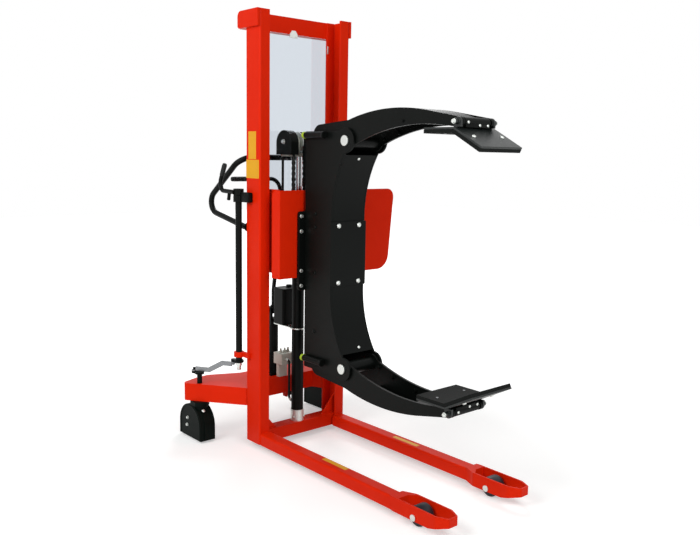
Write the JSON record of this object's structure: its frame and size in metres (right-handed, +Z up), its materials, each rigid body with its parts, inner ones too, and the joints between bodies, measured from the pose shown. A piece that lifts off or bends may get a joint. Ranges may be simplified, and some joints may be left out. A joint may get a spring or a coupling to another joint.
{
  "type": "reel stacker",
  "caption": "Hand-pushed hydraulic mast stacker with a hand-cranked rotating clamp whose two curved arms grip a reel between tilting rubber-faced pads.",
  "frame": {"origin": "centre of the machine's footprint box, on the floor", "axes": "+Z up, +X along the support legs toward their tips, +Y to the side of the handwheel"},
  "size_m": [1.597, 0.9038, 1.99],
  "materials": {
    "red_paint": "glossy powder coat",
    "black_paint": "satin powder coat",
    "zinc": "zinc plated",
    "steel": "ground",
    "grey_casting": "painted grey",
    "clear_panel": "clear polycarbonate",
    "rubber": "matt",
    "wheel": "matt",
    "chain": "oiled"
  },
  "bodies": {
    "chassis": {"right_upright": "red_paint", "left_upright": "red_paint", "top_beam": "red_paint", "guard_panel": "clear_panel", "guard_clips": "zinc", "base_crossbar": "red_paint", "right_leg": "red_paint", "left_leg": "red_paint", "load_axles": "zinc", "rear_deck": "red_paint", "foot_sleeve": "zinc", "lift_barrel": "black_paint", "barrel_brackets": "zinc", "oil_tank": "black_paint", "valve_block": "grey_casting", "pump_body": "grey_casting", "pressure_hose": "rubber", "column_brackets": "black_paint", "push_handle": "black_paint", "fixed_strands": "chain"},
    "piston": {"piston_rod": "steel", "yoke": "grey_casting", "sheave_guard": "black_paint", "strand_wraps": "chain"},
    "chain_wheels": {"chain_wheels": "zinc"},
    "carriage": {"carriage_frame": "red_paint", "front_shield": "red_paint", "chain_case": "black_paint", "load_strands": "chain", "rotation_chain": "chain"},
    "upper_rollers": {"upper_rollers": "steel"},
    "lower_rollers": {"lower_rollers": "steel"},
    "handwheel": {"handwheel": "black_paint"},
    "turntable": {"rotator_hub": "zinc", "rotator_flange": "black_paint", "column_cheeks": "black_paint", "column_back": "black_paint", "front_skin": "black_paint", "cover_plate": "black_paint", "clamp_bolts": "zinc", "port_tubes": "black_paint", "pivot_pins": "zinc"},
    "upper_arm": {"upper_arm": "black_paint"},
    "lower_arm": {"lower_arm": "black_paint"},
    "clamp_rod": {"clamp_rod": "steel"},
    "clamp_barrel": {"clamp_barrel": "black_paint"},
    "upper_pad": {"upper_pad": "black_paint", "upper_pad_rubber": "rubber"},
    "lower_pad": {"lower_pad": "black_paint", "lower_pad_rubber": "rubber"},
    "steering_column": {"steering_column": "black_paint"},
    "steering_link": {"steering_link": "zinc"},
    "right_caster": {"right_caster": "black_paint"},
    "right_caster_wheel": {"right_caster_wheel": "wheel"},
    "left_caster": {"left_caster": "black_paint"},
    "left_caster_wheel": {"left_caster_wheel": "wheel"},
    "right_load_wheel": {"right_load_wheel": "wheel"},
    "left_load_wheel": {"left_load_wheel": "wheel"},
    "foot_pedal": {"foot_pedal": "black_paint"},
    "pump_lever": {"pump_lever": "black_paint"}
  },
  "joints": [
    {"name": "lift", "type": "slide", "parent": "chassis", "child": "piston", "axis": [0, 0, 1], "range_m": [-0.08, 0.35], "deforming": ["fixed_strands"]},
    {"name": "carriage_lift", "type": "slide", "parent": "piston", "child": "carriage", "axis": [0, 0, 1], "range_m": [-0.08, 0.35], "deforming": ["load_strands"]},
    {"name": "chain_wheel_turn", "type": "hinge", "parent": "piston", "child": "chain_wheels", "pos_m": [-0.40462, -0.01395, 1.424], "axis": [0, 1, 0], "range_deg": [-110.1, 478.5]},
    {"name": "upper_roller_turn", "type": "hinge", "parent": "carriage", "child": "upper_rollers", "pos_m": [-0.40912, -0.01395, 1.17], "axis": [0, 1, 0], "range_deg": [-208.4, 908.4]},
    {"name": "lower_roller_turn", "type": "hinge", "parent": "carriage", "child": "lower_rollers", "pos_m": [-0.40912, -0.01395, 0.87], "axis": [0, 1, 0], "range_deg": [-208.4, 908.4]},
    {"name": "clamp_rotation", "type": "hinge", "parent": "carriage", "child": "turntable", "pos_m": [-0.22962, -0.01395, 0.938], "axis": [1, 0, 0], "range_deg": [-90, 90]},
    {"name": "handwheel_turn", "type": "hinge", "parent": "carriage", "child": "handwheel", "pos_m": [-0.38962, 0.36005, 0.938], "axis": [1, 0, 0], "range_deg": [-451, 451]},
    {"name": "clamp_closing", "type": "hinge", "parent": "turntable", "child": "upper_arm", "pos_m": [0.03738, -0.01395, 1.427], "axis": [0, 1, 0], "range_deg": [-5, 22]},
    {"name": "lower_arm_swing", "type": "hinge", "parent": "turntable", "child": "lower_arm", "pos_m": [0.03738, -0.01395, 0.449], "axis": [0, 1, 0], "range_deg": [-22.5, 5.5]},
    {"name": "clamp_rod_pivot", "type": "hinge", "parent": "upper_arm", "child": "clamp_rod", "pos_m": [-0.14262, -0.01395, 1.447], "axis": [0, 1, 0], "range_deg": [-22.5, 5.5]},
    {"name": "clamp_barrel_pivot", "type": "hinge", "parent": "lower_arm", "child": "clamp_barrel", "pos_m": [-0.14262, -0.01395, 0.429], "axis": [0, 1, 0], "range_deg": [-5.5, 22.5]},
    {"name": "upper_pad_tilt", "type": "hinge", "parent": "upper_arm", "child": "upper_pad", "pos_m": [0.65038, -0.01395, 1.493], "axis": [0, -1, 0], "range_deg": [-2, 20]},
    {"name": "lower_pad_tilt", "type": "hinge", "parent": "lower_arm", "child": "lower_pad", "pos_m": [0.65267, -0.01395, 0.4098], "axis": [0, 1, 0], "range_deg": [-2, 20]},
    {"name": "steering", "type": "hinge", "parent": "chassis", "child": "steering_column", "pos_m": [-0.49262, -0.29045, 0.398], "axis": [0, 0, 1], "range_deg": [-18, 25]},
    {"name": "steering_link_swing", "type": "hinge", "parent": "steering_column", "child": "steering_link", "pos_m": [-0.52362, -0.30145, 0.392], "axis": [0, 0, 1], "range_deg": [-26, 19]},
    {"name": "right_caster_swivel", "type": "hinge", "parent": "chassis", "child": "right_caster", "pos_m": [-0.67062, -0.39795, 0.192], "axis": [0, 0, 1], "range_deg": [-19, 26]},
    {"name": "right_caster_roll", "type": "hinge", "parent": "right_caster", "child": "right_caster_wheel", "pos_m": [-0.69662, -0.39795, 0.075], "axis": [0, 1, 0], "continuous": true},
    {"name": "left_caster_swivel", "type": "hinge", "parent": "chassis", "child": "left_caster", "pos_m": [-0.67062, 0.37005, 0.192], "axis": [0, 0, 1], "continuous": true},
    {"name": "left_caster_roll", "type": "hinge", "parent": "left_caster", "child": "left_caster_wheel", "pos_m": [-0.69662, 0.37005, 0.075], "axis": [0, 1, 0], "continuous": true},
    {"name": "right_load_wheel_roll", "type": "hinge", "parent": "chassis", "child": "right_load_wheel", "pos_m": [0.64038, -0.22345, 0.04], "axis": [0, 1, 0], "continuous": true},
    {"name": "left_load_wheel_roll", "type": "hinge", "parent": "chassis", "child": "left_load_wheel", "pos_m": [0.64038, 0.19555, 0.04], "axis": [0, 1, 0], "continuous": true},
    {"name": "foot_pedal_press", "type": "hinge", "parent": "chassis", "child": "foot_pedal", "pos_m": [-0.56962, 0.06605, 0.168], "axis": [0, -1, 0], "range_deg": [0, 14], "stiffness_Nm_per_rad": 20, "springref_deg": -8.59},
    {"name": "pump_stroke", "type": "hinge", "parent": "chassis", "child": "pump_lever", "pos_m": [-0.60462, -0.01395, 0.6], "axis": [0, -1, 0], "range_deg": [0, 40]}
  ],
  "couplings": [
    {"joint": "carriage_lift", "follows": "lift", "ratio": 1},
    {"joint": "chain_wheel_turn", "follows": "lift", "rad_per_m": 23.81},
    {"joint": "upper_roller_turn", "follows": "lift", "rad_per_m": 45.249},
    {"joint": "lower_roller_turn", "follows": "lift", "rad_per_m": 45.249},
    {"joint": "handwheel_turn", "follows": "clamp_rotation", "ratio": 5},
    {"joint": "lower_arm_swing", "follows": "clamp_closing", "ratio": -1},
    {"joint": "clamp_rod_pivot", "follows": "clamp_closing", "ratio": -1},
    {"joint": "clamp_barrel_pivot", "follows": "clamp_closing", "ratio": 1},
    {"joint": "steering_link_swing", "follows": "steering", "ratio": -1},
    {"joint": "right_caster_swivel", "follows": "steering", "ratio": 1}
  ]
}
